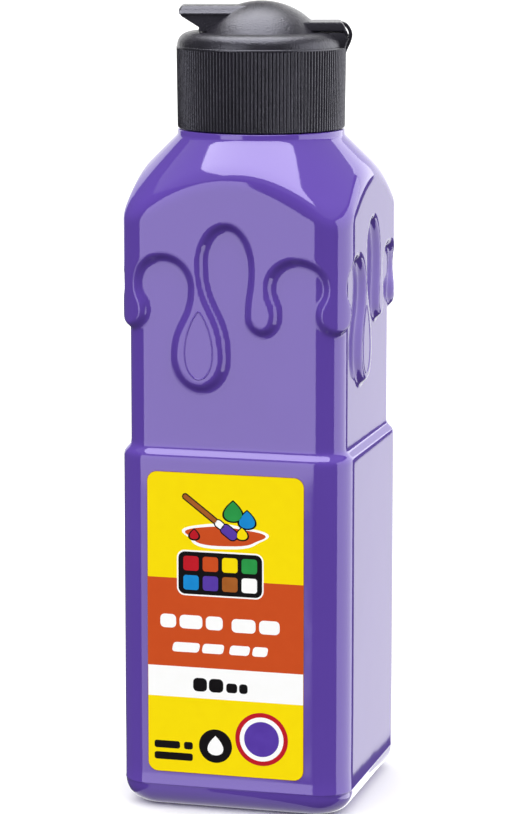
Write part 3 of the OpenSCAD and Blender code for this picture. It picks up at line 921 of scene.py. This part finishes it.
def root_u(v, z):
    """Distance from the axis to the middle of the dome's wall."""
    return sqrt(max((DOME_R - LID_WALL / 2) ** 2 - v * v - (z - DOME_C_Z) ** 2, 0.04))


def build_arm():
    """Flat arm from the dome's wall to the hinge."""
    low, top = DECK_Z + 0.15, DECK_Z + 1.95
    profile = rounded_profile([(7.0, low, 0), (HINGE_U - 0.75, low, 0.2),
                               (HINGE_U - 0.28, HINGE_Z + 0.15, 0.1), (HINGE_U, HINGE_Z + 0.15, 0.12),
                               (HINGE_U - 0.9, top - 0.5, 0.3),
                               (HINGE_U - 1.4, top, 0.3), (7.0, top, 0)])
    bevel = 0.35
    eased = eased_ends(profile, ARM_HALF, bevel)

    def at(v):
        points = np.array(eased(v))
        points[0, 0] = root_u(v, points[0, 1])
        points[-1, 0] = root_u(v, points[-1, 1])
        return points

    verts, faces = swept(at, bevelled(ARM_HALF, bevel))
    make("lid_arm", verts, faces, BLACK, "lid", CAP_CRISP)


TAB_TIP, TAB_TOP, TAB_UNDER = -15.95, DOME_TOP_Z - 0.8, DOME_TOP_Z - 2.5


def build_thumb_plate():
    """Thumb plate with a crowned top, sloped sides and a thin lip at its tip."""
    top, under, half, crowned = TAB_TOP, TAB_UNDER, 5.2, 0.02
    side = [(half, under), (half + 0.02, under + 0.2), (half - 0.06, under + 0.32),
            (half - 0.16, under + 0.4), (half - 0.6, (under + top) / 2 + 0.15), (half - 1.0, top - 0.16),
            (half - 1.2, top - 0.05), (half - 1.6, top)]
    section = [(-half + 0.4, under - crowned), (half - 0.4, under - crowned)]
    section += side + [(0.0, top + crowned)] + [(-v, z) for v, z in side[::-1]]
    # Within the nose the plate thins towards a lip and narrows a little
    nose, lip_z, thinning, narrowing = 0.06, under + 0.35, 0.55, 0.02
    rings = []
    for share in (0.0, 0.02, 0.04, nose, 0.2, 0.4, 0.6, 0.8, 1.0):
        near = max(1 - share / nose, 0) ** 2
        ring = []
        for v, z in section:
            drawn = z + (lip_z - z) * thinning * near
            end = -root_u(v, drawn)
            ring.append(cap_point(TAB_TIP + (end - TAB_TIP) * share, v * (1 - narrowing * near), drawn))
        rings.append(ring[::-1])
    verts, faces = capped(rings)
    make("thumb_plate", verts, faces, BLACK, "lid", CAP_CRISP)


def build_tab_web():
    """Wedge of web under the thumb plate: upright at its foot, then sloping out to the tip."""
    low, half = DECK_Z + 0.15, 4.85
    knee_z, lip_z, lip_u = 152.2, 154.57, 15.84
    levels = list(np.linspace(low, knee_z, 3)) + list(np.linspace(knee_z + 0.2, TAB_UNDER + 0.2, 10))
    stations = np.linspace(-half, half, 13)
    rings = []
    for z in levels:
        outer_u = -LID_R - max(z - knee_z, 0) * (lip_u - LID_R) / (lip_z - knee_z)
        front = [cap_point(max(outer_u, TAB_TIP + 0.3), v, z) for v in stations]
        back = [cap_point(-root_u(v, z), v, z) for v in stations[::-1]]
        rings.append((front + back)[::-1])
    verts, faces = capped(rings)
    make("tab_web", verts, faces, BLACK, "lid", CAP_CRISP)


def build_dome():
    """Domed lid with the plug that closes the spout, in one closed skin."""
    columns = 192
    turn = np.arange(columns) * 2 * pi / columns
    inner_r = DOME_R - LID_WALL
    # Plug, then the dome's inside, its rim and its outside
    pin_r, pin_z = 1.4, RIM_SEAT_Z + 0.9
    rings = [turned(r, z, turn) for r, z in ((0.7, pin_z), (1.0, pin_z + 0.02), (1.1, pin_z + 0.1),
                                             (pin_r, pin_z + 0.5), (pin_r, pin_z + 2.5))]
    rings.append(turned(pin_r, DOME_C_Z + sqrt(inner_r ** 2 - pin_r ** 2) - 0.2, turn))
    inner_steps, outer_steps = 9, 40
    root_r = pin_r + 0.15
    inner_rim_r = sqrt(inner_r ** 2 - (RIM_Z - DOME_C_Z) ** 2)
    for k in range(1, inner_steps + 1):
        r = root_r + (inner_rim_r - root_r) * k / inner_steps
        rings.append(turned(r, DOME_C_Z + sqrt(inner_r ** 2 - r * r), turn))
    rings.append(turned(LID_R - 0.12, RIM_Z, turn))
    rings.append(turned(LID_R - 0.03, RIM_Z + 0.04, turn))
    low = asin((RIM_Z + 0.12 - DOME_C_Z) / DOME_R)
    for k in range(outer_steps):
        a = low + (pi / 2 - low) * k / outer_steps
        rings.append(turned(DOME_R * cos(a), DOME_C_Z + DOME_R * sin(a), turn))
    verts, faces = skin(rings, first=(0, 0, pin_z), last=(0, 0, DOME_TOP_Z))
    piece = make("lid_dome", verts, faces, BLACK, "lid", CAP_CRISP)
    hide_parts("flip_lid")


def bowed_line(nodes, steps):
    """Smooth line through points: a Catmull-Rom curve."""
    line = []
    for k in range(len(nodes) - 1):
        near = [min(max(j, 0), len(nodes) - 1) for j in (k - 1, k, k + 1, k + 2)]
        p0, p1, p2, p3 = (np.array(nodes[j]) for j in near)
        for i in range(steps):
            t = i / steps
            line.append(0.5 * (2 * p1 + (p2 - p0) * t + (2 * p0 - 5 * p1 + 4 * p2 - p3) * t ** 2
                               + (3 * p1 - p0 - 3 * p2 + p3) * t ** 3))
    line.append(np.array(nodes[-1]))
    return np.array(line)


def build_strap():
    """Snap strap bowed from the arm's top, round the hinge, down to the skirt."""
    half, thick, edge = 1.9, 0.68, 0.15
    nodes = [(CAP_R - 0.35, HINGE_Z - 4.0), (CAP_R + 0.14, HINGE_Z - 2.6), (HINGE_U + 0.5, HINGE_Z - 1.0),
             (HINGE_U + 0.78, HINGE_Z + 0.3), (HINGE_U + 0.5, HINGE_Z + 1.4),
             (HINGE_U - 0.3, HINGE_Z + 2.45), (HINGE_U - 1.2, HINGE_Z + 2.8)]
    line = bowed_line(nodes, steps=6)
    tangent = np.gradient(line, axis=0)
    tangent /= np.linalg.norm(tangent, axis=1)[:, None]
    outward = np.column_stack([tangent[:, 1], -tangent[:, 0]])
    section = [(-half, -thick / 2), (-half + edge, -thick), (half - edge, -thick), (half, -thick / 2),
               (half - edge, 0.0), (-half + edge, 0.0)]
    rings = []
    for p, n in zip(line, outward):
        ring = []
        for v, depth in section:
            u, z = p + n * depth
            ring.append(cap_point(u, v, z))
        rings.append(ring)
    verts, faces = capped(rings)
    strap = make("bowed_strap", verts, faces, BLACK, None, STRAP_CRISP)
    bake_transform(strap)
    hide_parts("snap_strap")


def build_films():
    """Two thin films that join the arm to the bracket, one at each end of the fold."""
    half, place_v = 1.4, ARM_HALF - 2
    outer, inner = HINGE_U - 0.02, HINGE_U - 0.16
    verts, faces = [], []
    for side in (-1, 1):
        corners = ((outer, -half), (outer, half), (inner, half), (inner, -half))
        rings = [[cap_point(u, side * place_v + v, z) for u, v in corners]
                 for z in np.linspace(HINGE_Z - 0.3, HINGE_Z + 0.3, 9)]
        more, quads = capped(rings)
        faces += [[i + len(verts) for i in face] for face in quads]
        verts += more.tolist()
    films = make("hinge_film_pair", verts, faces, BLACK, None, STRAP_CRISP)
    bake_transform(films)
    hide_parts("hinge_films")


def finish_cad_nodes():
    """Paint and ring keep their CAD shapes and take their finishes."""
    for node, finish in (("paint_fill", PAINT), ("sealing_ring", FOAM)):
        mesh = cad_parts[node].data
        mesh.materials.clear()
        mesh.materials.append(finish)


# ---------------------------------------------------------------- stage

# Lengths are metres from here on
# The camera's turn and tilt, how far it stands off, its height and its slip aside
CAMERA_YAW = radians(15.164)
CAMERA_PITCH = radians(8.848)
CAMERA_DISTANCE = 0.64175
CAMERA_HEIGHT = 0.18658
CAMERA_SLIP = -0.00094
CAMERA_LENS = 145.12
CAMERA_SENSOR = 36
CAMERA_NEAR = 0.01
CAMERA_SHIFT = -0.06

# Strength of the white behind the object, of what gloss sees past the lights, and of the soft light
# on the object from below and above the horizon, which blend over a thin band
PAPER_WHITE = 1.2
GLOSS_DIM = 0.12
FROM_BELOW, FROM_ABOVE = 0.23, 1.75
HORIZON = 0.05
PAPER_GREY = (0.9, 0.9, 0.9, 1.0)
WHITE = (1, 1, 1, 1)

# Lights: name, azimuth, elevation, distance, width, height, radiance and the height they face
LIGHTS = (("left_strip", -42.35, 0, 1.2, 0.68, 0.945, 3.65, 0.317),
          ("left_low_strip", -43.3, 0, 1.2, 0.63, 0.445, 2.3, -0.378),
          ("right_softbox", 92, 0, 1.2, 1.94, 1.8, 3.25, 0.08),
          ("right_high_softbox", 140, 0, 1.2, 0.38, 0.83, 3.0, 0.565),
          ("right_far_softbox", 160.4, 0, 1.2, 0.493, 1.8, 1.48, 0.08),
          ("backdrop", 193, 9, 1.2, 0.92, 0.66, 1.2, 0.08),
          ("overhead_softbox", -90, 84.5, 0.9, 1.1, 0.86, 7.2, 0.08),
          ("ceiling_bounce", 0, 89.9, 1.6, 3.4, 3.4, 0.5, 0.08),
          ("floor_bounce", 0, -89.9, 0.0795, 0.052, 0.052, 1.1, 0.08))


def build_floor():
    """Sheet of pale paper that the bottle stands on, seen by the camera only."""
    mesh = bpy.data.meshes.new("studio_floor")
    reach = 3.0
    corners = [(-reach, -reach, 0), (reach, -reach, 0), (reach, reach, 0), (-reach, reach, 0)]
    mesh.from_pydata(corners, [], [(0, 1, 2, 3)])
    floor = bpy.data.objects.new("studio_floor", mesh)
    bpy.context.scene.collection.objects.link(floor)
    pale = bpy.data.materials.new("pale_paper_sweep")
    pale.use_nodes = True
    pale.node_tree.nodes.clear()
    tree = pale.node_tree
    shader = add_node(tree, "BsdfDiffuse", {"Color": PAPER_GREY})
    add_node(tree, "OutputMaterial", {"Surface": shader.outputs["BSDF"]})
    mesh.materials.append(pale)
    floor.visible_glossy = False
    floor.visible_diffuse = False


def soft_light(name, azimuth, elevation, distance, width, height, radiance, aim):
    """Softbox that only gloss sees; its azimuth is in degrees to the right of the camera's own."""
    light = bpy.data.lights.new(name, "AREA")
    light.shape = "RECTANGLE"
    light.size, light.size_y = width, height
    light.energy = radiance * pi * width * height
    lamp = bpy.data.objects.new(name, light)
    bpy.context.scene.collection.objects.link(lamp)
    turn, lift = CAMERA_YAW + radians(azimuth), radians(elevation)
    way = np.array((sin(turn) * cos(lift), -cos(turn) * cos(lift), sin(lift)))
    lamp.location = np.array((0, 0, aim)) + way * distance
    lamp.rotation_euler = Vector(-way).to_track_quat("-Z", "Y").to_euler()
    lamp.visible_camera = False
    lamp.visible_diffuse = False


def build_world():
    """White round the stage, brighter from above than below, dim where gloss looks past the lights."""
    world = bpy.data.worlds.new("studio_white")
    world.use_nodes = True
    tree = world.node_tree
    tree.nodes.clear()
    path = add_node(tree, "LightPath")
    place = add_node(tree, "TexCoord")
    parts = add_node(tree, "SeparateXYZ", {0: place.outputs["Generated"]})
    fall = add_node(tree, "MapRange", {"Value": parts.outputs["Z"],
                                       "From Min": -HORIZON, "From Max": HORIZON,
                                       "To Min": FROM_BELOW, "To Max": FROM_ABOVE})
    sky = add_node(tree, "Background", {"Color": WHITE, "Strength": fall.outputs["Result"]})
    white = add_node(tree, "Background", {"Color": WHITE, "Strength": PAPER_WHITE})
    dim = add_node(tree, "Background", {"Color": WHITE, "Strength": GLOSS_DIM})
    unlit = add_node(tree, "MixShader", {0: path.outputs["Is Glossy Ray"], 1: sky.outputs[0],
                                         2: dim.outputs[0]})
    mix = add_node(tree, "MixShader", {0: path.outputs["Is Camera Ray"], 1: unlit.outputs[0],
                                       2: white.outputs[0]})
    add_node(tree, "OutputWorld", {"Surface": mix.outputs[0]})
    bpy.context.scene.world = world


def build_camera():
    """Long lens from a little above the bottle's middle."""
    camera = bpy.data.cameras.new("studio_camera")
    camera.sensor_width = CAMERA_SENSOR
    camera.lens = CAMERA_LENS
    camera.shift_y = CAMERA_SHIFT
    camera.clip_start = CAMERA_NEAR
    seat = bpy.data.objects.new("studio_camera", camera)
    bpy.context.scene.collection.objects.link(seat)
    seat.location = (sin(CAMERA_YAW) * CAMERA_DISTANCE + cos(CAMERA_YAW) * CAMERA_SLIP,
                     -cos(CAMERA_YAW) * CAMERA_DISTANCE + sin(CAMERA_YAW) * CAMERA_SLIP, CAMERA_HEIGHT)
    seat.rotation_euler = (pi / 2 - CAMERA_PITCH, 0, CAMERA_YAW)
    bpy.context.scene.camera = seat


build_bottle()
build_labels()
build_cap()
build_bracket()
build_dome()
build_arm()
build_thumb_plate()
build_tab_web()
build_strap()
build_films()
finish_cad_nodes()
build_floor()
for row in LIGHTS:
    soft_light(*row)
build_world()
build_camera()
bpy.context.scene.view_settings.view_transform = "Standard"
